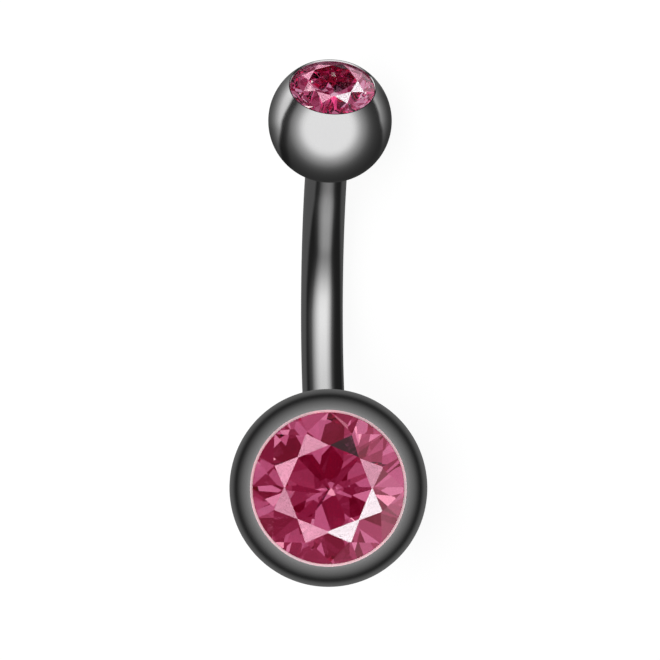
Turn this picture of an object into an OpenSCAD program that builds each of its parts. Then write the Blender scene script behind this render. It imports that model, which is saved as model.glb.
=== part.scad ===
// Navel ring: a curved bar, a large jewelled ball fixed at its lower end and
// a small jewelled ball screwed onto its upper end. Sizes are in millimetres.
// The ring lies on a level surface as it would by itself: on both balls and
// on the outside of the bend.

/* [Bar] */
// Diameter of the curved bar, 14 gauge
bar_d = 1.7; // [1.5:0.05:1.8]
// Straight distance between the two shoulders, the length that it is sold by
wear_length = 10; // [8:0.5:14]
// Angle that the bar bends through from shoulder to shoulder
bend = 79; // [60:1:95]
// Turn of the bend away from the direction that the lower stone faces
bend_turn = 4.5; // [0:0.5:10]

/* [Balls] */
// Diameter of the lower ball
lower_ball_d = 8; // [7.5:0.1:9]
// Diameter of the upper ball
upper_ball_d = 5; // [4.5:0.1:6]
// Gap between a shoulder of the bar and the flat that it seats on
seat_gap = 0.02; // [0.01:0.005:0.05]
// Width of the flat that shows round the shoulder
flat_margin = 0.05; // [0.02:0.01:0.15]

/* [Stones] */
// Diameter of the lower stone at its girdle
lower_stone_d = 6.2; // [5:0.05:6.5]
// Diameter of the upper stone at its girdle
upper_stone_d = 3.5; // [2.8:0.05:3.6]
// Width of the table as a share of the girdle diameter
table_share = 0.565; // [0.5:0.005:0.65]
// Slope of the crown's main facets
crown_angle = 34.5; // [30:0.5:38]
// Slope of the pavilion's main facets
pavilion_angle = 41; // [38:0.5:43]
// Thickness of the girdle as a share of its diameter
girdle_share = 0.03; // [0.025:0.005:0.05]
// Length of the star facets as a share of the crown's width
star_share = 0.5; // [0.4:0.05:0.6]
// Length of the lower halves as a share of the pavilion's width
lower_half_share = 0.77; // [0.7:0.01:0.85]

/* [Settings] */
// Overlap of the lip on the edge of the stone
lip_cover = 0.05; // [0.03:0.005:0.08]
// Height of the lip's straight inner wall
lip_height = 0.1; // [0.08:0.01:0.2]
// Width of the polished bevel round the lower opening
lower_bevel = 0.12; // [0.03:0.01:0.15]
// Width of the polished bevel round the upper opening
upper_bevel = 0.05; // [0.03:0.01:0.15]
// Gap between a stone and its seat
stone_gap = 0.02; // [0.01:0.005:0.04]

/* [Ends of the bar] */
// Diameter over the thread of the upper post
thread_d = 1.2; // [1:0.05:1.3]
// Distance from one turn of the thread to the next
thread_pitch = 0.25; // [0.2:0.01:0.35]
// Depth of the thread
thread_depth = 0.15; // [0.1:0.01:0.2]
// Gap between the thread and the bore of the upper ball
thread_gap = 0.03; // [0.02:0.005:0.05]
// Metal left between the bore of the upper ball and the point of its stone
floor_thickness = 0.25; // [0.15:0.05:0.5]
// Diameter of the tenon at the lower end
tenon_d = 1.2; // [1:0.05:1.3]
// Length of the tenon at the lower end
tenon_length = 2; // [1.2:0.1:2.4]
// Gap between the tenon and its bore
tenon_gap = 0.02; // [0.01:0.005:0.04]
// Free depth in a bore past the end of the post or tenon
end_gap = 0.15; // [0.05:0.05:0.3]

/* [Hidden] */
$fn = 96;

// Bar: an arc whose ends lie at plus and minus half the wear length on X
bar_r = bar_d / 2;
half_bend = bend / 2;
bend_r = wear_length / 2 / sin(half_bend);
bend_centre_y = -bend_r * cos(half_bend);
flat_r = bar_r + flat_margin;
overlap = 0.3;

// Balls: how far each centre lies past the shoulder along the end of the bar
lower_r = lower_ball_d / 2;
upper_r = upper_ball_d / 2;
lower_flat = sqrt(lower_r ^ 2 - flat_r ^ 2);
upper_flat = sqrt(upper_r ^ 2 - flat_r ^ 2);
lower_reach = lower_flat + seat_gap;
upper_reach = upper_flat + seat_gap;
lower_centre = [-wear_length / 2 - lower_reach * cos(half_bend), -lower_reach * sin(half_bend), 0];
upper_centre = [wear_length / 2 + upper_reach * cos(half_bend), -upper_reach * sin(half_bend), 0];

// Round brilliant: eight main facets, so the halves span half an eighth turn
mains = 8;
main_step = 360 / mains;
half_step = main_step / 2;
half_count = 2 * mains;
arc_points = 4;
girdle_points = half_count * arc_points;
table_edge = table_share * cos(half_step);
star_tip = table_edge + star_share * (1 - table_edge);
star_tip_z = (1 - star_tip * cos(half_step)) * tan(crown_angle);
crown_edge_slope = star_tip_z / (1 - star_tip);
crown_height = (1 - table_share) * tan(crown_angle);
lower_tip = 1 - lower_half_share;
lower_tip_z = -(1 - lower_tip * cos(half_step)) * tan(pavilion_angle);
pavilion_depth = tan(pavilion_angle);
tip_bulge = lower_tip * (1 - cos(half_step)) * tan(pavilion_angle);

// Settings: heights are measured from the centre of the ball along its stone
function opening_r(stone_d) = stone_d / 2 - lip_cover;
function rim_r(stone_d, bevel) = opening_r(stone_d) + bevel;
function rim_z(ball_r, stone_d, bevel) = sqrt(ball_r ^ 2 - rim_r(stone_d, bevel) ^ 2);
function lip_under_z(ball_r, stone_d, bevel) = rim_z(ball_r, stone_d, bevel) - bevel - lip_height;
function stone_z(ball_r, stone_d, bevel) =
    lip_under_z(ball_r, stone_d, bevel) - lip_cover * crown_edge_slope - stone_gap;
function seat_point_z(ball_r, stone_d, bevel) =
    stone_z(ball_r, stone_d, bevel) - (girdle_share + (pavilion_depth + tip_bulge) / 2) * stone_d
    - stone_gap / cos(pavilion_angle);

// Upper post: as many whole turns as the ball has room for behind its stone
relief = thread_pitch;
thread_r = thread_d / 2;
root_r = thread_r - thread_depth;
upper_seat = seat_point_z(upper_r, upper_stone_d, upper_bevel);
post_room = upper_flat + upper_seat - floor_thickness - end_gap;
turns = floor((post_room - relief) / thread_pitch);
post_length = relief + turns * thread_pitch;
tip_bevel = 0.1;

// Rest: the level plane that touches both balls and the outside of the bend.
// The upward direction is (tilt_a, -tilt_b) in the plane of the bend, with
// tilt_s as its length there, measured from the centre of the bend.
lower_v = -lower_centre.y + bend_centre_y;
upper_v = -upper_centre.y + bend_centre_y;
lower_k = lower_r - bar_r;
upper_k = upper_r - bar_r;
spread = lower_centre.x * upper_v - upper_centre.x * lower_v;
a_fixed = (lower_k * upper_v - upper_k * lower_v) / spread;
a_rate = bend_r * (lower_v - upper_v) / spread;
b_fixed = (lower_centre.x * upper_k - upper_centre.x * lower_k) / spread;
b_rate = bend_r * (upper_centre.x - lower_centre.x) / spread;
square_term = a_rate ^ 2 + b_rate ^ 2 - 1;
half_linear = a_fixed * a_rate + b_fixed * b_rate;
fixed_term = a_fixed ^ 2 + b_fixed ^ 2;
tilt_s = (-half_linear + sqrt(half_linear ^ 2 - square_term * fixed_term)) / square_term;
tilt_a = a_fixed + a_rate * tilt_s;
tilt_b = b_fixed + b_rate * tilt_s;
tilt_c = sqrt(1 - tilt_s ^ 2);
up = [tilt_a, -tilt_b, tilt_c];
roll = atan2(-tilt_b, tilt_c);
pitch = atan2(-tilt_a, norm([tilt_b, tilt_c]));
level_x = [cos(pitch), sin(pitch) * sin(roll), sin(pitch) * cos(roll)];
level_y = [0, cos(roll), -sin(roll)];

// Reach of each ball along a direction, less what its opening cuts away
lower_facing = [0, -cos(bend_turn), sin(bend_turn)];
upper_facing = [cos(half_bend), -sin(half_bend), 0];
function ball_reach(r, stone_d, bevel, along) =
    along > rim_z(r, stone_d, bevel) / r
        ? along * rim_z(r, stone_d, bevel) + rim_r(stone_d, bevel) * sqrt(1 - along ^ 2)
        : r;
function lower_end(way) =
    way * lower_centre + ball_reach(lower_r, lower_stone_d, lower_bevel, way * lower_facing);
function upper_end(way) =
    way * upper_centre + ball_reach(upper_r, upper_stone_d, upper_bevel, way * upper_facing);
function bend_end(way) = way.y * bend_centre_y + bend_r * norm([way.x, way.y]) + bar_r;
middle_x = (upper_end(level_x) - lower_end(-level_x)) / 2;
middle_y = (bend_end(level_y) - lower_end(-level_y)) / 2;
floor_z = up * lower_centre - lower_r;

module at_rest() {
    translate([-middle_x, -middle_y, -floor_z])
        rotate([roll, pitch, 0])
            children();
}

module at_lower_shoulder() {
    translate([-wear_length / 2, 0, 0])
        rotate([0, -90, half_bend])
            children();
}

module at_upper_shoulder() {
    translate([wear_length / 2, 0, 0])
        rotate([0, 90, -half_bend])
            children();
}

module at_lower_ball() {
    translate(lower_centre)
        rotate([90 - bend_turn, 0, 0])
            children();
}

module at_upper_ball() {
    at_upper_shoulder()
        translate([0, 0, upper_reach])
            children();
}

function ring_point(r, turn, z) = [r * cos(turn), r * sin(turn), z];

// Height of the plane through three points, above the place given
function plane_z(p, q, s, place) =
    let (n = cross(q - p, s - p))
    p.z - (n.x * (place.x - p.x) + n.y * (place.y - p.y)) / n.z;

// Girdle edge: each half facet's plane carried out to the round girdle
function girdle_edge(tip_share, tip_height, base) = [
    for (i = [0:girdle_points - 1])
        let (
            half = floor(i / arc_points),
            turn = i * 360 / girdle_points,
            place = ring_point(1, turn, base),
            first = ring_point(1, half * half_step, base),
            last = ring_point(1, (half + 1) * half_step, base),
            tip_turn = floor(half / 2) * main_step + half_step,
            tip = ring_point(tip_share, tip_turn, base + tip_height)
        )
        [place.x, place.y, plane_z(first, last, tip, place)]
];

// A round brilliant of the given girdle diameter, its girdle's top at height
// zero and its table facing up
module round_brilliant(stone_d) {
    girdle = 2 * girdle_share;
    table = [for (k = [0:mains - 1]) ring_point(table_share, k * main_step, crown_height)];
    stars = [for (k = [0:mains - 1]) ring_point(star_tip, k * main_step + half_step, star_tip_z)];
    upper_edge = girdle_edge(star_tip, star_tip_z, 0);
    lower_edge = girdle_edge(lower_tip, lower_tip_z, -girdle);
    tips = [for (k = [0:mains - 1])
        ring_point(lower_tip, k * main_step + half_step, lower_tip_z - girdle)];
    point = [[0, 0, -girdle - pavilion_depth]];

    star_at = mains;
    upper_at = star_at + mains;
    lower_at = upper_at + girdle_points;
    tip_at = lower_at + girdle_points;
    point_at = tip_at + mains;
    points = concat(table, stars, upper_edge, lower_edge, tips, point);

    table_face = [[for (k = [mains - 1:-1:0]) k]];
    star_faces = [for (k = [0:mains - 1]) [k, (k + 1) % mains, star_at + k]];
    crown_faces = [for (k = [0:mains - 1])
        [k, star_at + k, upper_at + k * 2 * arc_points, star_at + (k + mains - 1) % mains]];
    upper_halves = [for (h = [0:half_count - 1])
        concat(
            [star_at + floor(h / 2)],
            [for (i = [arc_points:-1:0]) upper_at + (h * arc_points + i) % girdle_points]
        )];
    girdle_faces = [for (i = [0:girdle_points - 1])
        let (next = (i + 1) % girdle_points)
        [upper_at + i, upper_at + next, lower_at + next, lower_at + i]];
    lower_halves = [for (h = [0:half_count - 1])
        concat(
            [tip_at + floor(h / 2)],
            [for (i = [0:arc_points]) lower_at + (h * arc_points + i) % girdle_points]
        )];
    pavilion_faces = [for (k = [0:mains - 1])
        [lower_at + k * 2 * arc_points, tip_at + k, point_at, tip_at + (k + mains - 1) % mains]];

    polyhedron(
        points = points * stone_d / 2,
        faces = concat(table_face, star_faces, crown_faces, upper_halves, girdle_faces,
            lower_halves, pavilion_faces)
    );
}

// The space cut from a ball for its stone: the seat, the lip and its bevel
module stone_seat(ball_r, stone_d, bevel) {
    seat_r = stone_d / 2 + stone_gap;
    seat_z = seat_point_z(ball_r, stone_d, bevel);
    under_z = lip_under_z(ball_r, stone_d, bevel);
    open_r = opening_r(stone_d);
    bevel_z = rim_z(ball_r, stone_d, bevel) - bevel;
    rotate_extrude()
        polygon([
            [0, seat_z],
            [seat_r, seat_z + seat_r * tan(pavilion_angle)],
            [seat_r, under_z],
            [open_r, under_z],
            [open_r, bevel_z],
            [open_r + ball_r, bevel_z + ball_r],
            [0, bevel_z + ball_r]
        ]);
}

// A bore with the flat round its mouth, drawn from the flat inwards
module bore_and_flat(bore_r, depth) {
    translate([0, 0, -depth])
        cylinder(r = bore_r, h = depth + bar_d);
    cylinder(r = 2 * flat_r, h = bar_d);
}

module threaded_post() {
    half_turns = [for (i = [0:turns - 1])
        let (z = relief + i * thread_pitch)
        each [
            [root_r, z + thread_pitch / 8],
            [thread_r, z + thread_pitch * 7 / 16],
            [thread_r, z + thread_pitch * 9 / 16],
            [root_r, z + thread_pitch * 7 / 8]
        ]];
    rotate_extrude()
        polygon(concat(
            [[0, -overlap], [root_r, -overlap]],
            half_turns,
            [[root_r - tip_bevel, post_length], [0, post_length]]
        ));
}

module plain_tenon() {
    tenon_r = tenon_d / 2;
    rotate_extrude()
        polygon([
            [0, -overlap],
            [tenon_r, -overlap],
            [tenon_r, tenon_length - tip_bevel],
            [tenon_r - tip_bevel, tenon_length],
            [0, tenon_length]
        ]);
}

module curved_bar() {
    color("DimGray")
        at_rest() {
            translate([0, bend_centre_y, 0])
                rotate([0, 0, 90 - half_bend])
                    rotate_extrude(angle = bend)
                        translate([bend_r, 0])
                            circle(r = bar_r);
            at_upper_shoulder() threaded_post();
            at_lower_shoulder() plain_tenon();
        }
}

module lower_ball() {
    color("DimGray")
        at_rest()
            difference() {
                translate(lower_centre)
                    sphere(r = lower_r);
                at_lower_ball()
                    stone_seat(lower_r, lower_stone_d, lower_bevel);
                at_lower_shoulder()
                    translate([0, 0, seat_gap])
                        rotate([180, 0, 0])
                            bore_and_flat(tenon_d / 2 + tenon_gap, tenon_length + end_gap - seat_gap);
            }
}

module lower_stone() {
    color("DeepPink")
        at_rest()
            at_lower_ball()
                translate([0, 0, stone_z(lower_r, lower_stone_d, lower_bevel)])
                    round_brilliant(lower_stone_d);
}

module upper_ball() {
    color("DimGray")
        at_rest()
            difference() {
                at_upper_ball()
                    sphere(r = upper_r);
                at_upper_ball()
                    stone_seat(upper_r, upper_stone_d, upper_bevel);
                at_upper_shoulder()
                    translate([0, 0, seat_gap])
                        rotate([180, 0, 0])
                            bore_and_flat(thread_r + thread_gap, post_length + end_gap - seat_gap);
            }
}

module upper_stone() {
    color("DeepPink")
        at_rest()
            at_upper_ball()
                translate([0, 0, stone_z(upper_r, upper_stone_d, upper_bevel)])
                    round_brilliant(upper_stone_d);
}

curved_bar();
lower_ball();
lower_stone();
upper_ball();
upper_stone();
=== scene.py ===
# %% [markdown]
# # A jewelled navel ring
#
# The object is a bent steel bar with a large jewelled ball at its lower end and a small
# one at its upper end, all polished and coated black. It lies on a pale surface, and
# the camera looks straight into the large stone. This cell loads the imported model,
# which fixes where everything is.

import math
import random

import bmesh
import bpy
from mathutils import Matrix, Vector


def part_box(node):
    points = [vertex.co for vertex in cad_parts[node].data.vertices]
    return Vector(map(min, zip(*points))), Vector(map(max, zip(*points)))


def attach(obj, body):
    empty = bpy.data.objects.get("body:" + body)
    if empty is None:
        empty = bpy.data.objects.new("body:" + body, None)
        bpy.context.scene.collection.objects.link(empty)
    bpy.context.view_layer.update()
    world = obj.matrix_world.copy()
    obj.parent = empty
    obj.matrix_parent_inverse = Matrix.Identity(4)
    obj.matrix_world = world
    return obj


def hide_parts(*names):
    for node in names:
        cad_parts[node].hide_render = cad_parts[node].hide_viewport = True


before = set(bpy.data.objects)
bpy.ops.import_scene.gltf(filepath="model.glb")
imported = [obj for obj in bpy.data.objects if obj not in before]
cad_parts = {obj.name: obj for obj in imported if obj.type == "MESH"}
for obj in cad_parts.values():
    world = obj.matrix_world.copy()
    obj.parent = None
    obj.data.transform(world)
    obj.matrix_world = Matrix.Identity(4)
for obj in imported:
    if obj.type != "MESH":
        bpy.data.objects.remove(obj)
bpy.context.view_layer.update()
scene = bpy.context.scene
MM = 0.001

# %% [markdown]
# ## Sizes
#
# The sizes repeat those of the solid model, in millimetres. The bar is an arc, so its
# radius follows from its straight length and its bend. Each ball's centre lies a little
# less than its radius past the shoulder that it seats on, along the end of the bar. The
# large stone faces the open side of the bend, a few degrees out of the bend's plane.

# %% Sizes of the bar, the balls and the stones
BAR_RADIUS = 0.85
WEAR_LENGTH = 10.0
HALF_BEND = math.radians(39.5)
BEND_RADIUS = WEAR_LENGTH / 2 / math.sin(HALF_BEND)
BEND_CENTRE = -BEND_RADIUS * math.cos(HALF_BEND)
STONE_TURN = math.radians(4.5)
SEAT_GAP = 0.02
FLAT_SPARE = 0.05
FLAT_RADIUS = BAR_RADIUS + FLAT_SPARE
LIP_COVER = 0.05
LIP_HEIGHT = 0.1
STONE_GAP = 0.02
# Each ball's radius, its stone's radius and the width of its bevel.
LOWER_SIZES, UPPER_SIZES = (4.0, 3.1, 0.12), (2.5, 1.75, 0.05)
LOWER_RADIUS, UPPER_RADIUS = LOWER_SIZES[0], UPPER_SIZES[0]


def flat_height(ball_radius):
    """Distance from a ball's centre to the flat that the bar's shoulder seats on."""
    return math.sqrt(ball_radius**2 - FLAT_RADIUS**2)


LOWER_REACH = flat_height(LOWER_RADIUS) + SEAT_GAP
UPPER_REACH = flat_height(UPPER_RADIUS) + SEAT_GAP
print("bend radius in mm", round(BEND_RADIUS, 3))

# %% [markdown]
# ## Where the ring lies
#
# The ring rests on both balls and on the outside of its bend. Everything is built in
# the plane of the bend first, with X along the chord, and one matrix then lays it down.
# The matrix comes from the level plane that touches all three, found with the same sums
# as in the solid model.

# %% The matrix that lays the ring down
def ball_centre(side, reach):
    """A ball's centre past its shoulder, with a side of -1 for the lower end."""
    out = WEAR_LENGTH / 2 + reach * math.cos(HALF_BEND)
    return Vector((side * out, -reach * math.sin(HALF_BEND), 0))


lower_centre, upper_centre = ball_centre(-1, LOWER_REACH), ball_centre(1, UPPER_REACH)


def resting_up():
    """The direction that points up once the ring lies on its three touching points."""
    # Up has parts x and y in the plane of the bend, and s is the length of the two. Each
    # ball's lowest point is level with the bend's: x * centre + y * v = k - BEND_RADIUS * s.
    lower_v, upper_v = BEND_CENTRE - lower_centre.y, BEND_CENTRE - upper_centre.y
    lower_k, upper_k = LOWER_RADIUS - BAR_RADIUS, UPPER_RADIUS - BAR_RADIUS
    spread = lower_centre.x * upper_v - upper_centre.x * lower_v
    a0 = (lower_k * upper_v - upper_k * lower_v) / spread
    a1 = BEND_RADIUS * (lower_v - upper_v) / spread
    b0 = (lower_centre.x * upper_k - upper_centre.x * lower_k) / spread
    b1 = BEND_RADIUS * (upper_centre.x - lower_centre.x) / spread
    square, half, fixed = a1**2 + b1**2 - 1, a0 * a1 + b0 * b1, a0**2 + b0**2
    s = (-half + math.sqrt(half**2 - square * fixed)) / square
    return Vector((a0 + a1 * s, -(b0 + b1 * s), math.sqrt(1 - s**2)))


up = resting_up()
roll = math.atan2(up.y, up.z)
pitch = math.atan2(-up.x, math.hypot(up.y, up.z))
turn = Matrix.Rotation(pitch, 4, "Y") @ Matrix.Rotation(roll, 4, "X")
_, bar_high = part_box("curved_bar")
ball_low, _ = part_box("lower_ball")
lower_turned = turn @ lower_centre
bend_middle = turn @ Vector((0, BEND_CENTRE, 0))
bend_reach = BEND_RADIUS * turn.row[1].to_3d().xy.length
shift_x = ball_low.x / MM + LOWER_RADIUS - lower_turned.x
shift_y = bar_high.y / MM - BAR_RADIUS - bend_middle.y - bend_reach
LAY = Matrix.Translation((shift_x, shift_y, LOWER_RADIUS - lower_turned.z)) @ turn
print("lower centre", [round(v, 3) for v in LAY @ lower_centre])

# %% [markdown]
# ## Directions for placing pieces
#
# A lathed piece is drawn round its own Z axis. These matrices carry it to its place: to
# a shoulder of the bar, or to the centre of a ball whose stone faces along Z. The
# picture's own axes follow from the large stone's axis and the line between the balls.

# %% Matrices for the two ends
def turned_to(place, x, y, z):
    """A matrix that moves the origin to a place and turns the axes to x, y and z."""
    return Matrix.Translation(place) @ Matrix((x, y, z)).transposed().to_4x4()


def facing(place, axis, side):
    """A matrix that moves the origin to a place and turns Z to an axis and X to a side."""
    z = axis.normalized()
    x = (side - side.dot(z) * z).normalized()
    return turned_to(place, x, z.cross(x), z)


chord = Vector((1, 0, 0))
outwards = Vector((0, 1, 0))
across = Vector((0, 0, 1))
upper_way = Vector((math.cos(HALF_BEND), -math.sin(HALF_BEND), 0))
lower_way = Vector((-math.cos(HALF_BEND), -math.sin(HALF_BEND), 0))
lower_stone_way = Vector((0, -math.cos(STONE_TURN), math.sin(STONE_TURN)))
UPPER_SHOULDER = LAY @ facing(Vector((WEAR_LENGTH / 2, 0, 0)), upper_way, -across)
LOWER_SHOULDER = LAY @ facing(Vector((-WEAR_LENGTH / 2, 0, 0)), lower_way, across)
LOWER_BALL = LAY @ facing(lower_centre, lower_stone_way, chord)
UPPER_BALL = LAY @ facing(upper_centre, upper_way, outwards)

view_axis = (LOWER_BALL.to_3x3() @ Vector((0, 0, 1))).normalized()
lower_spot = LAY @ lower_centre
upper_spot = LAY @ upper_centre
CENTRES_LEAN = math.radians(0.252)
centres = upper_spot - lower_spot
centres = (centres - centres.dot(view_axis) * view_axis).normalized()
image_up = (Matrix.Rotation(CENTRES_LEAN, 3, view_axis) @ centres).normalized()
image_right = image_up.cross(view_axis).normalized()
print("view axis", [round(v, 4) for v in view_axis])

# %% [markdown]
# ## Helpers for meshes
#
# Polished metal shows every flaw of a mesh in its reflections, so each metal piece is
# lathed afresh from a fine profile. Rings of points are joined by quads. A piece stands
# in for its solid node and rides on the same body.

# %% Turn rings of points into a piece
AROUND = 192
SHARP_ANGLE = math.radians(28)


def add_object(name, data):
    """Adds an object to the scene."""
    made = bpy.data.objects.new(name, data)
    scene.collection.objects.link(made)
    return made


def new_piece(name, points, faces, material):
    """Makes a smooth mesh object from points in millimetres, with its hard edges kept."""
    mesh = bpy.data.meshes.new(name)
    mesh.from_pydata([p * MM for p in points], [], faces)
    mesh.validate()
    piece = add_object(name, mesh)
    mesh.materials.append(material)
    mesh.polygons.foreach_set("use_smooth", [True] * len(mesh.polygons))
    mesh.set_sharp_from_angle(angle=SHARP_ANGLE)
    return piece


def skin_rings(rings):
    """Joins rings of equal length into quads, closing both ends with a point."""
    count = len(rings[0])
    points = [p for ring in rings for p in ring]
    pairs = [(j, (j + 1) % count) for j in range(count)]
    faces = []
    for base in range(0, len(points) - count, count):
        above = base + count
        faces += [(base + j, base + k, above + k, above + j) for j, k in pairs]
    base, first, last = len(points) - count, len(points), len(points) + 1
    points += [sum(rings[0], Vector()) / count, sum(rings[-1], Vector()) / count]
    for j, k in pairs:
        faces += [(first, k, j), (last, base + j, base + k)]
    return points, faces


TURNS = [2 * math.pi * j / AROUND for j in range(AROUND)]


def ring_at(place, radius, height, shape=None):
    """One ring round Z at a height, with an optional change of radius by turn."""
    made = []
    for t in TURNS:
        r = radius + (shape(t, height) if shape else 0)
        made.append(place @ Vector((r * math.cos(t), r * math.sin(t), height)))
    return made


def profile_rings(profile, place):
    """Rings round Z for (radius, height) pairs, carried to their place."""
    return [ring_at(place, radius, height) for radius, height in profile]


def lathed(name, profile, place, material):
    """A piece lathed round Z from its profile."""
    return new_piece(name, *skin_rings(profile_rings(profile, place)), material)


def sphere_arc(radius, start_deg, end_deg, steps):
    """Profile points on a ball's outside, with angles measured from the lathe's axis."""
    made = []
    for i in range(steps + 1):
        a = math.radians(start_deg + (end_deg - start_deg) * i / steps)
        made.append((radius * math.sin(a), radius * math.cos(a)))
    return made


# %% [markdown]
# ## Helpers for materials
#
# A material or a light is a small tree of nodes. These helpers add a node, set or link
# its sockets by name, and do sums, so that each finish reads as a few plain lines.

# %% Node helpers
SOCKET = bpy.types.NodeSocket


def put(tree, socket, value):
    """Links a socket to another, or sets it to a number, a colour or a direction."""
    if isinstance(value, SOCKET):
        tree.links.new(value, socket)
    else:
        socket.default_value = value


def set_inputs(tree, node, **inputs):
    """Puts a value or a link in each named input of a node, and gives back its outputs."""
    for name, value in inputs.items():
        put(tree, node.inputs[name.replace("_", " ")], value)
    return node.outputs


def add_node(tree, kind, **inputs):
    """Adds a node, sets its named inputs and gives back its outputs."""
    return set_inputs(tree, tree.nodes.new("ShaderNode" + kind), **inputs)


def operate(tree, kind, operation, *values):
    """Adds a node that does one sum, and gives back its outputs."""
    node = tree.nodes.new("ShaderNode" + kind)
    node.operation = operation
    for socket, value in zip(node.inputs, values):
        put(tree, socket, value)
    return node.outputs


def maths(tree, operation, *values):
    """One sum of sockets and numbers."""
    return operate(tree, "Math", operation, *values)["Value"]


def sum_kind(operation):
    """A function that adds one kind of sum to a tree."""
    return lambda tree, *values: maths(tree, operation, *values)


plus, minus, times = sum_kind("ADD"), sum_kind("SUBTRACT"), sum_kind("MULTIPLY")
times_plus = sum_kind("MULTIPLY_ADD")


def mixed(tree, share, first, second):
    """A colour between two others."""
    return add_node(tree, "MixRGB", Fac=share, Color1=first, Color2=second)["Color"]


def noise_band(tree, scale, low, high, stretch=(1, 1, 1), detail=3.0):
    """A noise mapped to a band of values, read at the piece's own coordinates."""
    own = add_node(tree, "TexCoord")["Object"]
    place = add_node(tree, "Mapping", Vector=own, Scale=stretch)["Vector"]
    noise = add_node(tree, "TexNoise", Vector=place, Scale=scale, Detail=detail)["Fac"]
    return add_node(tree, "MapRange", Value=noise, To_Min=low, To_Max=high)["Result"]


def new_material(name):
    """A material with its node tree and its shader."""
    material = bpy.data.materials.new(name)
    material.use_nodes = True
    tree = material.node_tree
    return material, tree, tree.nodes["Principled BSDF"]


# %% [markdown]
# ## The black steel
#
# The real finish is a thin black coating over mirror-polished steel, so it reflects like
# a dark metal: neutral, clear and a little soft. One broad noise varies its gloss as
# smears do, a fine stretched one draws polishing lines, a third varies its tone, and a
# faint bump breaks up the perfect curve. One function makes all four steels: the
# polished black, the bare steel of the seats under the stones, a paler steel on the bevel
# round the large stone, which is a painted highlight added to the light band it mirrors,
# and a near-black steel on the lip of the small one, which is painted shade for the
# shadow between the lip and its stone.

# %% Four steels, one of them a painted highlight and one painted shade
SMEAR_SCALE = 420
LINE_SCALE, LINE_STRETCH, LINE_ROUGHNESS = 900, (0.25, 3, 3), 0.03
TONE_SCALE, TONE_DARKER, TONE_PALER = 260, (0.94, 0.94, 0.95), (1.06, 1.055, 1.05)
GRAIN_SCALE, GRAIN_STRENGTH, GRAIN_HEIGHT = 5200, 0.03, 0.01


def black_steel(name, tone, smoothest, roughest):
    """Polished steel of one tone, with a roughness that wanders between two values."""
    material, tree, shader = new_material(name)
    smears = noise_band(tree, SMEAR_SCALE, smoothest, roughest)
    lines = noise_band(tree, LINE_SCALE, 0.0, LINE_ROUGHNESS, stretch=LINE_STRETCH, detail=4)
    set_inputs(tree, shader, Metallic=1.0, Roughness=plus(tree, smears, lines))
    darker, paler = [(*[tone * part for part in parts], 1) for parts in (TONE_DARKER, TONE_PALER)]
    shade = mixed(tree, noise_band(tree, TONE_SCALE, 0.0, 1.0), darker, paler)
    grain = noise_band(tree, GRAIN_SCALE, 0.0, 1.0, detail=2)
    height = GRAIN_HEIGHT * MM
    bump = add_node(tree, "Bump", Strength=GRAIN_STRENGTH, Distance=height, Height=grain)
    set_inputs(tree, shader, Base_Color=shade, Normal=bump["Normal"])
    return material


steel = black_steel("black_steel_polished", tone=0.45, smoothest=0.10, roughest=0.16)
seat_steel = black_steel("bare_seat_steel", tone=0.6, smoothest=0.02, roughest=0.05)
# A paler copy of the steel: a painted highlight on the bevel, added to the light band that it
# mirrors.
bevel_painted_highlight = black_steel("bevel_painted_highlight_steel", tone=0.7, smoothest=0.10, roughest=0.16)
# A near-black copy of the steel: painted shade on the small ball's lip, for the shadow between the
# lip and its stone.
lip_painted_shadow = black_steel("lip_painted_shadow_steel", tone=0.025, smoothest=0.2, roughest=0.3)
print("finishes", [material.name for material in (steel, seat_steel, bevel_painted_highlight, lip_painted_shadow)])

# %% [markdown]
# ## The bar
#
# The bar is a round rod bent to an arc. Its rings follow the arc, with tiny rounded
# edges for its last rings. A plain tenon at the lower end is hidden in its ball. The fine
# thread at the upper end shows once the small ball is screwed off, so it is drawn as a
# true helix: each point's radius follows its height and its turn.

# %% Sweep the bar with its tenon and its thread
THREAD_RADIUS = 0.6
THREAD_DEPTH = 0.15
THREAD_PITCH = 0.25
POST_RELIEF = 0.25
POST_LENGTH = 1.75
TENON_RADIUS = 0.6
TENON_LENGTH = 2.0
END_BEVEL = 0.1
SHOULDER_ROUND = 0.03
CREST_HALF, FLANK, RUN_IN = 0.06, 0.3, 0.1
RINGS_PER_PITCH = 12
BEND_STEPS = 160


def thread_depth(t, height):
    """How far the thread is cut in at a turn and a height, beyond its relief groove."""
    along = (height / THREAD_PITCH - t / (2 * math.pi)) % 1.0
    groove = max(0.0, min(1.0, (abs(along - 0.5) - CREST_HALF) / FLANK))
    start = min(1.0, max(0.0, (height - POST_RELIEF) / RUN_IN))
    return -THREAD_DEPTH * max(groove, 1 - start)


def bend_rings(steps):
    """Rings along the bent part, from the lower shoulder to the upper one."""
    made = []
    for i in range(steps + 1):
        t = HALF_BEND * (2 * i / steps - 1)
        middle = Vector((BEND_RADIUS * math.sin(t), BEND_RADIUS * math.cos(t) + BEND_CENTRE, 0))
        away = Vector((math.sin(t), math.cos(t), 0))
        sides = [away * math.cos(a) - across * math.sin(a) for a in TURNS]
        made.append([LAY @ (middle + side * BAR_RADIUS) for side in sides])
    return made


def align(ring, target):
    """Rolls a ring so that its points line up with the ring that it joins."""
    shift = min(range(AROUND), key=lambda s: (ring[s] - target[0]).length)
    rolled = ring[shift:] + ring[:shift]
    back = [rolled[0]] + rolled[:0:-1]
    probe = AROUND // 4
    straight_gap = (rolled[probe] - target[probe]).length
    return rolled if straight_gap < (back[probe] - target[probe]).length else back


def rounded_end(place, steps=4):
    """Rings of a shoulder's rounded edge, from its outer side in to its flat."""
    inner = BAR_RADIUS - SHOULDER_ROUND
    made = []
    for i in range(steps + 1):
        a = math.pi / 2 * i / steps
        made.append((inner + SHOULDER_ROUND * math.cos(a), -SHOULDER_ROUND * (1 - math.sin(a))))
    return profile_rings(made, place)


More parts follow.
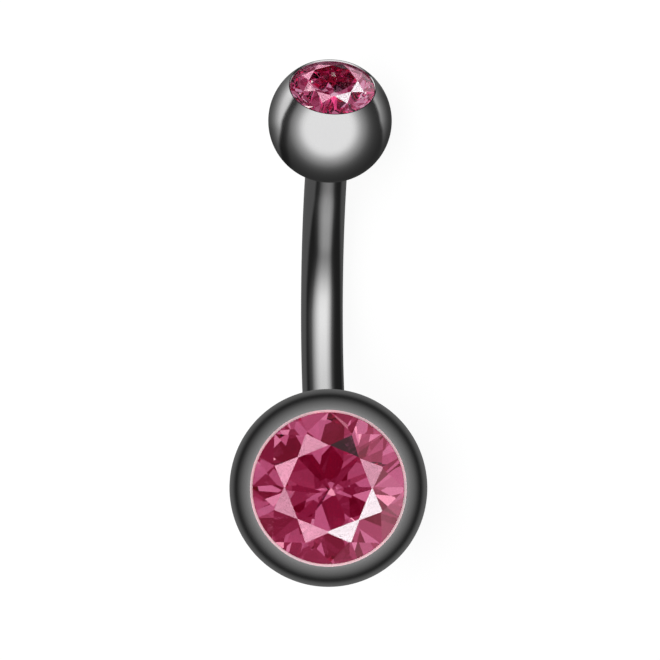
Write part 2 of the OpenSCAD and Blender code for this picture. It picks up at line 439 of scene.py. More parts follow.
middle = bend_rings(BEND_STEPS)[1:-1]
tenon = [(TENON_RADIUS, 0), (TENON_RADIUS, TENON_LENGTH - END_BEVEL)]
tenon.append((TENON_RADIUS - END_BEVEL, TENON_LENGTH))
lower = rounded_end(LOWER_SHOULDER) + profile_rings(tenon, LOWER_SHOULDER)
upper = rounded_end(UPPER_SHOULDER)
upper.append(ring_at(UPPER_SHOULDER, THREAD_RADIUS - THREAD_DEPTH, 0))
steps = int(POST_LENGTH / THREAD_PITCH * RINGS_PER_PITCH)
for i in range(1, steps + 1):
    height = (POST_LENGTH - END_BEVEL) * i / steps
    upper.append(ring_at(UPPER_SHOULDER, THREAD_RADIUS, height, thread_depth))
tip_radius = THREAD_RADIUS - THREAD_DEPTH - END_BEVEL
upper.append(ring_at(UPPER_SHOULDER, tip_radius, POST_LENGTH))
bar_rings = [align(ring, middle[0]) for ring in reversed(lower)] + middle
bar_rings += [align(ring, middle[-1]) for ring in upper]
bar = new_piece("polished_bar", *skin_rings(bar_rings), steel)
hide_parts("curved_bar")
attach(bar, "bar")
print("bar faces", len(bar.data.polygons))

# %% [markdown]
# ## The openings of the balls
#
# Each ball is turned on a lathe with an opening for its stone: a cone for a seat, a
# straight wall, a lip that holds the stone in, and a bevel out to the sphere. The seat
# follows the stone, so the stone's shape is set first, in shares of its radius. Any
# stretch of rings can have a material of its own; this lays the painted highlight on the
# large ball's bevel and the painted shade on the small ball's lip.

# %% Profile of an opening
TABLE_SHARE = 0.565
CROWN_DEG = 34.5
PAVILION_DEG = 41.0
GIRDLE_SHARE = 0.03
STAR_SHARE = 0.5
LOWER_HALF_SHARE = 0.77
HALF_STEP = math.radians(22.5)
TABLE_EDGE = TABLE_SHARE * math.cos(HALF_STEP)
STAR_TIP = TABLE_EDGE + STAR_SHARE * (1 - TABLE_EDGE)
STAR_TIP_Z = (1 - STAR_TIP * math.cos(HALF_STEP)) * math.tan(math.radians(CROWN_DEG))
LOWER_TIP = 1 - LOWER_HALF_SHARE
PAVILION_SLOPE = math.tan(math.radians(PAVILION_DEG))
SEAT_RELIEF = 0.08
CORE_RADIUS = 0.02
EDGE_ROUND = 0.012
EDGE_LEAD = 1.5
BEYOND_DEG = 2
SEAT_RINGS = (0, 1)
BEVEL_RINGS = (7, 13)
LIP_RINGS = (11, 18)


def seat_heights(ball_radius, stone_radius, bevel):
    """Heights of the rim, the lip's underside, the stone and the seat's point."""
    rim_radius = stone_radius - LIP_COVER + bevel
    rim = math.sqrt(ball_radius**2 - rim_radius**2)
    under = rim - bevel - LIP_HEIGHT
    stone = under - LIP_COVER * STAR_TIP_Z / (1 - STAR_TIP) - STONE_GAP
    bulge = LOWER_TIP * (1 - math.cos(HALF_STEP)) * PAVILION_SLOPE * stone_radius
    point = stone - (2 * GIRDLE_SHARE + PAVILION_SLOPE) * stone_radius
    seat = point - bulge - STONE_GAP / math.cos(math.radians(PAVILION_DEG))
    return rim, under, stone, seat


def soft_corner(before, corner, after, steps=4):
    """Rounds one corner of a profile with a small curve."""
    before, corner, after = Vector(before), Vector(corner), Vector(after)
    start = corner + (before - corner).normalized() * EDGE_ROUND
    end = corner + (after - corner).normalized() * EDGE_ROUND
    made = [tuple(corner + (start - corner) * EDGE_LEAD)]
    for i in range(steps + 1):
        t = i / steps
        made.append(tuple(start * (1 - t) ** 2 + corner * (2 * t * (1 - t)) + end * t**2))
    made.append(tuple(corner + (end - corner) * EDGE_LEAD))
    return made


def opening_profile(ball_radius, stone_radius, bevel):
    """The seat, the lip and its bevel, from the axis out to the sphere."""
    rim, under, _, seat = seat_heights(ball_radius, stone_radius, bevel)
    seat -= SEAT_RELIEF
    seat_radius = stone_radius + STONE_GAP
    opening = stone_radius - LIP_COVER
    rim_radius = opening + bevel
    rim_deg = math.degrees(math.asin(rim_radius / ball_radius))
    beyond = sphere_arc(ball_radius, rim_deg + BEYOND_DEG, rim_deg + BEYOND_DEG, 1)[0]
    inner, outer = (opening, rim - bevel), (rim_radius, rim)
    profile = [(CORE_RADIUS, seat), (seat_radius, seat + seat_radius * PAVILION_SLOPE)]
    profile += [(seat_radius, under), (opening, under)]
    profile += soft_corner((opening, under), inner, outer) + soft_corner(inner, outer, beyond)
    return profile, rim_deg


def dress_rings(piece, material, first, last):
    """Gives the faces between two rings of a lathed piece their own material."""
    piece.data.materials.append(material)
    for face in piece.data.polygons:
        if first <= face.index // AROUND < last:
            face.material_index = len(piece.data.materials) - 1


# %% [markdown]
# ## The small ball
#
# The real ball is bored and threaded from the side away from its stone. The bore and
# the stone share one axis, so a single profile draws the whole ball: the opening, the
# sphere, the flat that meets the bar's shoulder, and the bore.

# %% The small ball, lathed whole
BORE_GAP = 0.03
BORE_RADIUS = THREAD_RADIUS + BORE_GAP
BORE_SPARE = 0.15
BORE_DEPTH = POST_LENGTH + BORE_SPARE - SEAT_GAP
UPPER_RIM_SKIP, UPPER_FLAT_SKIP, UPPER_STEPS = 0.6, 0.4, 110
profile, rim_deg = opening_profile(*UPPER_SIZES)
flat_deg = math.degrees(math.asin(FLAT_RADIUS / UPPER_RADIUS))
flat = -flat_height(UPPER_RADIUS)
start, end = rim_deg + UPPER_RIM_SKIP, 180 - flat_deg - UPPER_FLAT_SKIP
profile += sphere_arc(UPPER_RADIUS, start, end, UPPER_STEPS)
profile += [(FLAT_RADIUS - EDGE_ROUND, flat), (BORE_RADIUS, flat)]
profile += [(BORE_RADIUS, flat + BORE_DEPTH), (CORE_RADIUS, flat + BORE_DEPTH)]
upper_ball = lathed("polished_upper_ball", profile, UPPER_BALL, steel)
dress_rings(upper_ball, seat_steel, *SEAT_RINGS)
# The lip's rings get the near-black steel: painted shade for the shadow round the stone.
dress_rings(upper_ball, lip_painted_shadow, *LIP_RINGS)
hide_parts("upper_ball")
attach(upper_ball, "screw_on_ball")
print("upper ball faces", len(upper_ball.data.polygons))

# %% [markdown]
# ## The large ball
#
# The real ball is pressed onto the end of the bar, and its bore leans away from the
# axis of its stone. A lathe draws about one axis only, so the ball is lathed first, and
# its flat and bore are cut with a second lathed shape. The sphere's own directions are
# then given back to the faces on it, so that the cut leaves no ripple in reflections.

# %% The large ball, lathed and then cut for the bar
LOWER_RIM_SKIP, LOWER_END_DEG, LOWER_STEPS = 0.4, 179.6, 150
TENON_GAP = 0.02
TENON_BORE = TENON_RADIUS + TENON_GAP
CUT_OUT = -1.0
SPHERE_TOLERANCE = 0.004
FACING_OUT = 0.9


def cut_away(piece, cutter):
    """Cuts one mesh from another and keeps the result as the piece's own mesh."""
    tool = piece.modifiers.new("cut", "BOOLEAN")
    tool.operation = "DIFFERENCE"
    tool.solver = "EXACT"
    tool.object = cutter
    graph = bpy.context.evaluated_depsgraph_get()
    cut = bpy.data.meshes.new_from_object(piece.evaluated_get(graph))
    piece.modifiers.clear()
    old = piece.data
    piece.data = cut
    bpy.data.meshes.remove(old)
    bpy.data.objects.remove(cutter)


def true_sphere_normals(piece, centre, radius):
    """Gives the faces that lie on the sphere the sphere's own directions."""
    mesh = piece.data
    normals = [Vector(n.vector) for n in mesh.corner_normals]
    for face in mesh.polygons:
        corners = [mesh.vertices[v].co - centre for v in face.vertices]
        on_sphere = all(abs(c.length - radius) < SPHERE_TOLERANCE * MM for c in corners)
        if on_sphere and face.normal.dot(corners[0].normalized()) > FACING_OUT:
            for loop, corner in zip(face.loop_indices, corners):
                normals[loop] = corner.normalized()
    mesh.normals_split_custom_set(normals)


profile, rim_deg = opening_profile(*LOWER_SIZES)
start = rim_deg + LOWER_RIM_SKIP
profile += sphere_arc(LOWER_RADIUS, start, LOWER_END_DEG, LOWER_STEPS)
lower_ball = lathed("polished_lower_ball", profile, LOWER_BALL, steel)
dress_rings(lower_ball, seat_steel, *SEAT_RINGS)
# The bevel's rings get the paler steel: a painted highlight round the stone.
dress_rings(lower_ball, bevel_painted_highlight, *BEVEL_RINGS)
bore_end, wide = TENON_LENGTH + BORE_SPARE, FLAT_RADIUS * 2
space = [(CORE_RADIUS, bore_end), (TENON_BORE, bore_end), (TENON_BORE, SEAT_GAP)]
space += [(wide, SEAT_GAP), (wide, CUT_OUT), (CORE_RADIUS, CUT_OUT)]
cut_away(lower_ball, lathed("cutter", space, LOWER_SHOULDER, steel))
lower_ball.data.set_sharp_from_angle(angle=SHARP_ANGLE)
true_sphere_normals(lower_ball, lower_spot * MM, LOWER_RADIUS * MM)
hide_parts("lower_ball")
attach(lower_ball, "bar")
print("lower ball faces", len(lower_ball.data.polygons))

# %% [markdown]
# ## The stones
#
# A round brilliant has a flat table, eight star facets, eight kite-shaped main facets
# and sixteen upper halves above its girdle, and sixteen lower halves and eight mains
# below. It is made here as a cutter makes it: a round blank is ground on one plane
# after another. As on a stone cut by the thousand, all but the table lean a little off
# their true angles, those below the girdle most. That breaks the reflections inside
# into livelier patches.

# %% Grind a blank, facet by facet
STAR_MARK = "star_facet"
SAME_FACING = 0.99999
WANDER_DEG = {"main": 1.8, "lower_half": 1.8, "kite": 0.4, "upper_half": 0.4, "star": 0.3}
INSIDE_CROWN, INSIDE_PAVILION = 0.1, -0.3
BLANK_SIDES, BLANK_DEPTH = 128, 3
GRIND_TOLERANCE = 1e-7


def facet_planes(rng):
    """The planes of a brilliant of radius one: a point on each and its outward side."""
    crown = math.tan(math.radians(CROWN_DEG))
    table_z = (1 - TABLE_SHARE) * crown
    girdle = -2 * GIRDLE_SHARE

    def spot(r, turn, z):
        """A place or a direction from its reach, its turn and its height."""
        return Vector((r * math.cos(turn), r * math.sin(turn), z))

    planes = [("table", Vector((0, 0, table_z)), Vector((0, 0, 1)))]
    steep, deep = math.radians(CROWN_DEG), math.radians(PAVILION_DEG)
    low_z = girdle - (1 - LOWER_TIP * math.cos(HALF_STEP)) * PAVILION_SLOPE
    for k in range(8):
        a = 2 * k * HALF_STEP
        planes.append(("kite", spot(1, a, 0), spot(math.sin(steep), a, math.cos(steep))))
        planes.append(("main", spot(1, a, girdle), spot(math.sin(deep), a, -math.cos(deep))))
        first, last = spot(TABLE_SHARE, a, table_z), spot(TABLE_SHARE, a + 2 * HALF_STEP, table_z)
        tip = spot(STAR_TIP, a + HALF_STEP, STAR_TIP_Z)
        planes.append(("star", tip, (tip - first).cross(last - first)))
        low_tip = spot(LOWER_TIP, a + HALF_STEP, low_z)
        for side in (0, 1):
            near = a + side * HALF_STEP
            p, q = spot(1, near, 0), spot(1, near + HALF_STEP, 0)
            planes.append(("upper_half", p, (p - tip).cross(q - tip)))
            p, q = spot(1, near, girdle), spot(1, near + HALF_STEP, girdle)
            planes.append(("lower_half", p, (q - low_tip).cross(p - low_tip)))
    wandered = []
    for kind, point, way in planes:
        way = way.normalized()
        if kind != "table":
            inside = Vector((0, 0, INSIDE_CROWN if way.z > 0 else INSIDE_PAVILION))
            way = way if way.dot(point - inside) > 0 else -way
            wander = math.radians(WANDER_DEG[kind])
            lean = Vector([rng.uniform(-wander, wander) for _ in range(3)])
            way = (way + lean).normalized()
        wandered.append((kind, point, way))
    return wandered


def grind(bm, point, way):
    """Cuts off everything outside one plane and closes the cut with one flat face."""
    parts = bm.verts[:] + bm.edges[:] + bm.faces[:]
    made = bmesh.ops.bisect_plane(
        bm, geom=parts, dist=GRIND_TOLERANCE, plane_co=point, plane_no=way, clear_outer=True
    )
    edges = [e for e in made["geom_cut"] if isinstance(e, bmesh.types.BMEdge) and e.is_boundary]
    if edges:
        bmesh.ops.contextual_create(bm, geom=edges)


def cut_stone(name, radius, place, seed, material):
    """A finished brilliant with its star facets marked, and which way each of them faces."""
    rng = random.Random(seed)
    bm = bmesh.new()
    bmesh.ops.create_cone(
        bm, cap_ends=True, segments=BLANK_SIDES, radius1=1, radius2=1, depth=BLANK_DEPTH,
        matrix=Matrix(),
    )
    planes = facet_planes(rng)
    for _, point, way in planes:
        grind(bm, point, way)
    bmesh.ops.recalc_face_normals(bm, faces=bm.faces[:])
    bm.transform(Matrix.Scale(MM, 4) @ place @ Matrix.Scale(radius, 4))
    mesh = bpy.data.meshes.new(name)
    bm.to_mesh(mesh)
    bm.free()
    stone = add_object(name, mesh)
    mesh.materials.append(material)
    turned = place.to_3x3()
    stars = [(turned @ way).normalized() for kind, _, way in planes if kind == "star"]
    mark = mesh.attributes.new(STAR_MARK, "FLOAT", "FACE")
    for face, marked in zip(mesh.polygons, mark.data):
        marked.value = float(any(face.normal.dot(way) > SAME_FACING for way in stars))
    return stone, stars


# %% [markdown]
# ## The pink of the stones
#
# The real stones are clear and deeply coloured. Most of the colour here is a tint that
# light takes as it enters or leaves a stone, and a little comes from the depth that it
# crosses. The small stone is paler and absorbs half as much. A faint cloud varies the
# tint, and the polish has the slightest haze. The marked star facets mirror more than
# plain stone, so that soft lights make them flash. The photo's metal shows no pink, so
# a stone that the polish mirrors from some way off is black in that reflection.

# %% Material of a stone
STONE_INDEX = 2.1
HAZE_SCALE, HAZE = 700, 0.018
CLOUD_SCALE, CLOUD_GREEN, CLOUD_BLUE = 380, 0.86, 0.9
NEAR_REACH = 0.8
LOWER_TINT, UPPER_TINT = (1.0, 0.07, 0.27), (1.0, 0.095, 0.34)
DEPTH_TINT = (0.97, 0.6, 0.8, 1)
ABSORPTION = 200.0
STAR_MIRROR = 7.0
WHITE, BLACK = (1, 1, 1, 1), (0, 0, 0, 1)


def pink_stone(name, density, tint):
    """Clear cut stone with a tint, some depth of colour and brighter star facets."""
    material, tree, shader = new_material(name)
    set_inputs(tree, shader, Transmission_Weight=1.0, IOR=STONE_INDEX)
    set_inputs(tree, shader, Roughness=noise_band(tree, HAZE_SCALE, 0.0, HAZE))
    cloud = noise_band(tree, CLOUD_SCALE, 0.0, 1.0, detail=2)
    clouded = (tint[0], tint[1] * CLOUD_GREEN, tint[2] * CLOUD_BLUE, 1)
    shade = mixed(tree, cloud, (*tint, 1), clouded)
    rays = add_node(tree, "LightPath")
    outside = maths(tree, "LESS_THAN", rays["Transmission Depth"], 0.5)
    far = maths(tree, "GREATER_THAN", rays["Ray Length"], NEAR_REACH * MM)
    distant = times(tree, far, outside)
    mirrored = times(tree, rays["Is Glossy Ray"], distant)
    set_inputs(tree, shader, Base_Color=mixed(tree, mirrored, shade, BLACK))
    star = tree.nodes.new("ShaderNodeAttribute")
    star.attribute_name = STAR_MARK
    inner = add_node(tree, "NewGeometry")["Backfacing"]
    outer_star = maths(tree, "MAXIMUM", minus(tree, star.outputs["Fac"], inner), 0)
    strong = (STAR_MIRROR, STAR_MIRROR, STAR_MIRROR, 1)
    set_inputs(tree, shader, Specular_Tint=mixed(tree, outer_star, WHITE, strong))
    depth = add_node(tree, "VolumeAbsorption", Color=DEPTH_TINT, Density=density)["Volume"]
    set_inputs(tree, tree.nodes["Material Output"], Volume=depth)
    return material


lower_pink = pink_stone("lower_stone_pink", ABSORPTION, LOWER_TINT)
upper_pink = pink_stone("upper_stone_pink", ABSORPTION / 2, UPPER_TINT)
print("star facets mirror", STAR_MIRROR, "times as much as the rest")

# %% [markdown]
# ## Cutting the stones
#
# Each stone has a seed of its own for the wander of its facets, so the two differ as
# real ones do. Its place comes from the same sums as its seat, which keeps a small gap
# between the stone and the metal all round.

# %% Cut the two stones
LOWER_SEED, UPPER_SEED = 7, 11


def stone_in(ball, sizes, name, seed, material):
    """A stone cut and set at its height in its ball."""
    place = ball @ Matrix.Translation((0, 0, seat_heights(*sizes)[2]))
    return cut_stone(name, sizes[1], place, seed, material)


lower_stone, lower_stars = stone_in(
    LOWER_BALL, LOWER_SIZES, "lower_brilliant", LOWER_SEED, lower_pink
)
upper_stone, upper_stars = stone_in(
    UPPER_BALL, UPPER_SIZES, "upper_brilliant", UPPER_SEED, upper_pink
)
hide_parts("lower_stone")
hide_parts("upper_stone")
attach(lower_stone, "bar")
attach(upper_stone, "screw_on_ball")
for stone in (lower_stone, upper_stone):
    stars = sum(marked.value for marked in stone.data.attributes[STAR_MARK].data)
    print(stone.name, "has", len(stone.data.polygons), "facets,", int(stars), "of them stars")

# %% [markdown]
# ## The camera
#
# Small jewellery is photographed with a long lens from well back, so that near and far
# parts keep their sizes. The camera looks along the large stone's axis from 1.2 metres,
# with the small ball at the top. Its turn comes from the line between the balls, and its
# lens from the picture's width at the ring.

# %% Camera
CAMERA_DISTANCE = 1200.0
PICTURE_WIDTH = 26.667
SENSOR_WIDTH = 36.0
LOWER_BALL_SIDE = 0.065
LOWER_BALL_DROP = 6.382
camera_data = bpy.data.cameras.new("camera")
camera_data.sensor_width = SENSOR_WIDTH
camera_data.lens = SENSOR_WIDTH * CAMERA_DISTANCE / PICTURE_WIDTH
camera_data.clip_start = 0.001
camera_data.clip_end = 20.0
camera = add_object("camera", camera_data)
scene.camera = camera
target = lower_spot + image_up * LOWER_BALL_DROP + image_right * LOWER_BALL_SIDE
eye = (target + view_axis * CAMERA_DISTANCE) * MM
camera.matrix_world = turned_to(eye, image_right, image_up, view_axis)
print("lens in mm", round(camera_data.lens, 1))

# %% [markdown]
# ## Helpers for light
#
# The looks of polished metal come from the light that it mirrors. These helpers measure
# a direction along an axis, and turn a number into a brightness on a curve of stops.

# %% Sums of directions, and curves of brightness
def unit_way(tree, operation, one, other):
    """The direction in which one sum of two directions points."""
    made = operate(tree, "VectorMath", operation, one, other)["Vector"]
    return operate(tree, "VectorMath", "NORMALIZE", made)["Vector"]


def along_axis(tree, way, axis):
    """How far a direction goes along an axis, from -1 to 1."""
    return operate(tree, "VectorMath", "DOT_PRODUCT", way, axis)["Value"]


def degrees_from(tree, way, axis):
    """The angle between a direction and an axis, in degrees."""
    return maths(tree, "DEGREES", maths(tree, "ARCCOSINE", along_axis(tree, way, axis)))


def curve(tree, value, stops):
    """A level that follows a value through (value, level) stops."""
    low, high = stops[0][0], stops[-1][0]
    top = max(level for _, level in stops)
    place = maths(tree, "DIVIDE", minus(tree, value, low), high - low)
    ramp = tree.nodes.new("ShaderNodeValToRGB")
    elements = ramp.color_ramp.elements
    while len(elements) < len(stops):
        elements.new(0.5)
    for element, (at, level) in zip(elements, stops):
        element.position = (at - low) / (high - low)
        element.color = (level / top, level / top, level / top, 1)
    return times(tree, set_inputs(tree, ramp, Fac=place)["Color"], top)


LEVEL_SPARE = 0.001


def curve_signed(tree, value, stops):
    """A curve whose levels may be negative."""
    base = min(level for _, level in stops) - LEVEL_SPARE
    raised = curve(tree, value, [(at, level - base) for at, level in stops])
    return plus(tree, raised, base)


# %% [markdown]
# ## The floor
#
# The photo's ring stands before plain white. A pale light table gives the same look: it
# glows evenly, so shadows on it are faint. The metal and the stones don't see it, since
# their own boxes of light stand in for what they mirror.

# %% Floor
FLOOR_HALF = 1.5
FLOOR_DROP = 0.00002
FLOOR_GLOW = 0.92
FLOOR_SCALE, FLOOR_TONES = 60, (0.116, 0.124)
floor_mesh = bpy.data.meshes.new("floor")
corners = [(-1, -1), (1, -1), (1, 1), (-1, 1)]
floor_points = [(x * FLOOR_HALF, y * FLOOR_HALF, -FLOOR_DROP) for x, y in corners]
floor_mesh.from_pydata(floor_points, [], [(0, 1, 2, 3)])
floor = add_object("floor", floor_mesh)
floor_look, floor_tree, floor_shader = new_material("floor_pale")
floor_grain = noise_band(floor_tree, FLOOR_SCALE, *FLOOR_TONES)
set_inputs(floor_tree, floor_shader, Roughness=1.0, Specular_IOR_Level=0.0)
set_inputs(floor_tree, floor_shader, Emission_Color=WHITE, Emission_Strength=FLOOR_GLOW)
set_inputs(floor_tree, floor_shader, Base_Color=floor_grain)
floor_mesh.materials.append(floor_look)
floor.visible_glossy = False
floor.visible_transmission = False
floor.visible_shadow = False
print("floor is", 2 * FLOOR_HALF, "metres wide")

# %% [markdown]
# ## The sky
#
# The sky is white to the camera and to the floor, and nearly black to the metal. Light
# that passes through the stones sees a broken pattern, which gives them their life: a
# sum of waves with chance turns and lengths, as on choppy water. Its low parts look
# crimson through the stones and its crests pale. Small bright spots make rare sparkles.

# %% Sky
METAL_SKY = 0.008
WAVE_SEED = 5009
WAVE_COUNT = 10
WAVE_RANGE = (5.0, 16.0)
SWELL_STOPS = (-3, -1.5, -0.7, 0, 0.7, 1.3, 1.8, 2.3, 3)
SWELL_LEVELS = {
    "Red": (0.15, 0.18, 0.26, 0.36, 0.48, 0.64, 0.9, 1.4, 1.5),
    "Green": (0.0, 0.03, 0.3, 0.8, 1.7, 3.4, 7.0, 14.0, 15.0),
    "Blue": (0.06, 0.1, 0.25, 0.45, 0.8, 1.4, 2.3, 3.6, 3.8),
}
SPARKLE_CELLS = 12.0
SPARKLE_SPOT = [(0, 1.0), (0.13, 1.0), (0.16, 0.0), (1, 0.0)]
SPARKLE = {"Red": 1.3, "Green": 18.0, "Blue": 4.2}
world = bpy.data.worlds.new("studio")
scene.world = world
world.use_nodes = True
world.cycles.sampling_method = "NONE"
sky = world.node_tree
sky.nodes.clear()
sky_way = add_node(sky, "TexCoord")["Generated"]
rng = random.Random(WAVE_SEED)
swell = 0.0
for _ in range(WAVE_COUNT):
    way = Vector([rng.gauss(0, 1) for _ in range(3)]).normalized()
    frequency, phase = rng.uniform(*WAVE_RANGE), rng.uniform(0, 2 * math.pi)
    wave = maths(sky, "COSINE", plus(sky, along_axis(sky, sky_way, way * frequency), phase))
    swell = plus(sky, swell, wave)
# The sum now spreads by about one to each side of zero, which the stops count on.
swell = maths(sky, "DIVIDE", swell, math.sqrt(WAVE_COUNT / 2))
cells = add_node(sky, "TexVoronoi", Vector=sky_way, Scale=SPARKLE_CELLS)["Distance"]
spots = curve(sky, cells, SPARKLE_SPOT)
rays = add_node(sky, "LightPath")
through = rays["Is Transmission Ray"]
seen = maths(sky, "MAXIMUM", rays["Is Camera Ray"], rays["Is Diffuse Ray"])
sky_colour = sky.nodes.new("ShaderNodeCombineColor")
for channel, levels in SWELL_LEVELS.items():
    spark = times(sky, spots, SPARKLE[channel])
    patch = plus(sky, curve(sky, swell, list(zip(SWELL_STOPS, levels))), spark)
    extra = minus(sky, patch, METAL_SKY)
    dim = times_plus(sky, through, extra, METAL_SKY)
    level = times_plus(sky, seen, minus(sky, 1.0, dim), dim)
    set_inputs(sky, sky_colour, **{channel: level})
background = add_node(sky, "Background", Color=sky_colour.outputs["Color"])["Background"]
add_node(sky, "OutputWorld", Surface=background)
print("sky nodes", len(sky.nodes))

# %% [markdown]
# ## Boxes of light
#
# A photographer of small polished things builds a box of soft panels round them. Here
# each piece has its own: six square panels that light that piece alone. One pattern is
# spread over all six. It depends only on the direction from the piece, so a spot on the
# polish shows the brightness that stands where it mirrors the view.

# %% A box of six panels with one pattern of light
BOX_HALF = 300.0


def polish_facing(tree, way):
    """Which way the polish must face to mirror a direction to the camera."""
    return unit_way(tree, "ADD", way, view_axis)


def light_panel(name, group, focus, way, rise, half, distance, pattern, tint):
    """A square panel that faces a focus and lights only one group of pieces."""
    data = bpy.data.lights.new(name, "AREA")
    data.shape = "SQUARE"
    data.size = 2 * half * MM
    # This power gives the panel a brightness of one, which its pattern then scales.
    data.energy = math.pi * data.size**2
    data.color = tint
    data.use_nodes = True
    tree = data.node_tree
    spot = add_node(tree, "NewGeometry")["Position"]
    strength = pattern(tree, unit_way(tree, "SUBTRACT", spot, focus * MM))
    set_inputs(tree, tree.nodes["Emission"], Strength=strength)
    light = add_object(name, data)
    rise = (rise - rise.dot(way) * way).normalized()
    light.matrix_world = turned_to((focus + way * distance) * MM, rise.cross(way), rise, way)
    light.visible_camera = False
    light.visible_transmission = False
    light.light_linking.receiver_collection = group
    light.light_linking.blocker_collection = group


def light_box(name, group, focus, pattern, tint=WHITE[:3]):
    """Six panels that close round a focus."""
    axes = ((view_axis, image_up), (image_up, view_axis), (image_right, image_up))
    faces = [(side * axis, rise) for axis, rise in axes for side in (1, -1)]
    for i, (way, rise) in enumerate(faces):
        light_panel(f"{name}_{i}", group, focus, way, rise, BOX_HALF, BOX_HALF, pattern, tint)


def lit_group(name, piece):
    """A collection of the one piece that a box lights."""
    group = bpy.data.collections.new(name)
    group.objects.link(piece)
    return group


# %% [markdown]
# ## Light on the large ball
#
# The large ball shows only a ring of its sphere to the camera: a grey band next to the
# stone, a near black line and a paler edge. The pattern is a curve of brightness by the
# angle from the view. Its bright band, square to the view, is mirrored by the bevel
# alone and draws the pale line round the stone, which the bevel's paler steel brightens
# as a painted highlight.

# %% The large ball's box
RING_LEVELS = [
    (0, 0.5), (50, 0.3), (70, 0.12), (80, 0.12), (84, 1.6), (97, 1.6), (101, 0.5), (107, 0.44),
    (110, 0.36), (113, 0.315), (116, 0.27), (119.5, 0.222), (123, 0.16), (127, 0.1), (131, 0.05),
    (135, 0.02), (137.5, 0.014), (140, 0.027), (142.6, 0.054), (145.4, 0.086), (148.5, 0.118),
    (152, 0.134), (160, 0.15), (180, 0.155),
]


def ring_pattern(tree, way):
    """Rings of light round the view axis."""
    return curve(tree, degrees_from(tree, way, view_axis), RING_LEVELS)


light_box("lower_box", lit_group("lit_lower_ball", lower_ball), lower_spot, ring_pattern)

# %% [markdown]
# ## Light on the small ball
#
# The small ball shows a broad soft glow that fades to black, and a pale crescent at each
# side beyond a sharp dark line. The glow is a dome light, and each crescent is the edge
# of a card behind the ball. They are placed by where they are mirrored, in parts of the
# ball's radius as the camera sees it.

# %% The small ball's box
DOME_SPOT = (-0.02, -0.12)
DOME_LEVELS = [
    (0, 1.62), (0.35, 1.62), (0.38, 1.58), (0.42, 1.42), (0.46, 1.12), (0.5, 0.82), (0.55, 0.55),
    (0.6, 0.36), (0.65, 0.19), (0.7, 0.11), (0.75, 0.07), (0.8, 0.05), (0.85, 0.034), (1.2, 0.03),
]
LINE_STOPS = (-1, -0.53, -0.4, -0.27, -0.14, 0, 0.12, 0.25, 0.385, 0.52, 1)
LEFT_SIDES = (-0.72, -0.8, -0.828, -0.82, -0.797, -0.78, -0.733, -0.661, -0.59, -0.53, -0.4)
RIGHT_SIDES = (0.7, 0.8, 0.845, 0.855, 0.85, 0.815, 0.794, 0.747, 0.68, 0.6, 0.3)
LEFT_LINE = list(zip(LINE_STOPS, LEFT_SIDES))
RIGHT_LINE = list(zip(LINE_STOPS, RIGHT_SIDES))
LINE_STEP = [(-2, 0.0), (-0.012, 0.0), (0.012, 1.0), (2, 1.0)]
LEFT_LEVELS = [
    (0, 1.25), (0.765, 1.25), (0.81, 1.12), (0.85, 0.72), (0.9, 0.34), (0.93, 0.22),
    (0.95, 0.155), (0.98, 0.1), (1, 0.08),
]
LEFT_FADE = [
    (-1, 0.7), (-0.3, 0.65), (-0.14, 0.65), (0.0, 1.0), (0.3, 1.05), (0.4, 1.15), (0.52, 1.35),
    (0.65, 1.7), (1, 2),
]
RIGHT_LEVELS = [
    (0, 0.95), (0.77, 0.95), (0.8, 0.78), (0.82, 0.62), (0.84, 0.44), (0.87, 0.3), (0.9, 0.18),
    (0.93, 0.106), (0.955, 0.065), (1, 0.05),
]
RIGHT_FADE = [(-1, 0.8), (-0.14, 0.85), (0, 1.0), (0.4, 1.0), (0.52, 1.5), (0.62, 2.6), (1, 2.8)]
DARK_LINE = [(-2, 1.0), (-0.15, 1.0), (-0.105, 0.4), (0, 0.25), (2, 0.25)]


def dome_pattern(tree, way):
    """A dome in front, and a card behind each side, placed by where they are mirrored."""
    facing_way = polish_facing(tree, way)
    side = along_axis(tree, facing_way, image_right)
    rise = along_axis(tree, facing_way, image_up)
    out = maths(tree, "SINE", maths(tree, "RADIANS", degrees_from(tree, facing_way, view_axis)))
    off_side = minus(tree, side, DOME_SPOT[0])
    off_rise = minus(tree, rise, DOME_SPOT[1])
    rise_square = times(tree, off_rise, off_rise)
    square = times_plus(tree, off_side, off_side, rise_square)
    dome = curve(tree, maths(tree, "SQRT", square), DOME_LEVELS)
    left_off = minus(tree, curve_signed(tree, rise, LEFT_LINE), side)
    right_off = minus(tree, side, curve_signed(tree, rise, RIGHT_LINE))
    left_on, right_on = curve(tree, left_off, LINE_STEP), curve(tree, right_off, LINE_STEP)
    dome = times(tree, dome, curve(tree, left_off, DARK_LINE))
    between = minus(tree, 1, maths(tree, "MAXIMUM", left_on, right_on))
    dome = times(tree, dome, between)
    left = times(tree, curve(tree, out, LEFT_LEVELS), curve(tree, rise, LEFT_FADE))
    right = times(tree, curve(tree, out, RIGHT_LEVELS), curve(tree, rise, RIGHT_FADE))
    total = times_plus(tree, left, left_on, dome)
    return times_plus(tree, right, right_on, total)


light_box("upper_box", lit_group("lit_upper_ball", upper_ball), upper_spot, dome_pattern)

# %% [markdown]
# ## Light on the bar
#
# The bar shows one long soft streak with a dip below its top, and a faint grey line at
# each side. The streak is a long panel whose brightness, width and place change with
# the angle along the bend. The lines are dim cards, whose edges move along it too.

